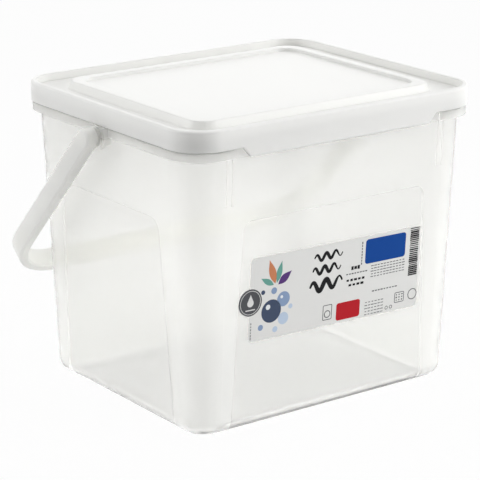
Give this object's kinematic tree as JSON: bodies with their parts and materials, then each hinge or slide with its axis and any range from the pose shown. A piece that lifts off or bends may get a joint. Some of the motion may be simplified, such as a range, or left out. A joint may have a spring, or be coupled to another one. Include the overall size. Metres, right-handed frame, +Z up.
{
  "type": "laundry detergent container",
  "caption": "Rectangular translucent tub with a lift-off lid, a swinging carrying handle and printed labels on its front panel.",
  "frame": {"origin": "middle of the tub's flat underside", "axes": "+Z up, X along the tub's long front and rear walls, -Y out of the front wall that carries the labels"},
  "size_m": [0.2224, 0.183, 0.1731],
  "materials": {
    "tub_plastic": "natural translucent polypropylene, moulded satin",
    "lid_plastic": "white polypropylene, moulded satin",
    "handle_plastic": "white polypropylene, moulded satin",
    "label_film": "printed film, satin",
    "disc_film": "printed film, satin"
  },
  "bodies": {
    "tub": {"tub": "tub_plastic", "front_label": "label_film", "round_label": "disc_film"},
    "lid": {"lid": "lid_plastic"},
    "handle": {"carry_handle": "handle_plastic"}
  },
  "joints": [
    {"name": "lid_lift", "type": "slide", "parent": "tub", "child": "lid", "axis": [0, 0, 1], "range_m": [0, 0.06]},
    {"name": "handle_swing", "type": "hinge", "parent": "tub", "child": "handle", "pos_m": [0, 0, 0.156], "axis": [1, 0, 0], "range_deg": [0, 272]}
  ]
}
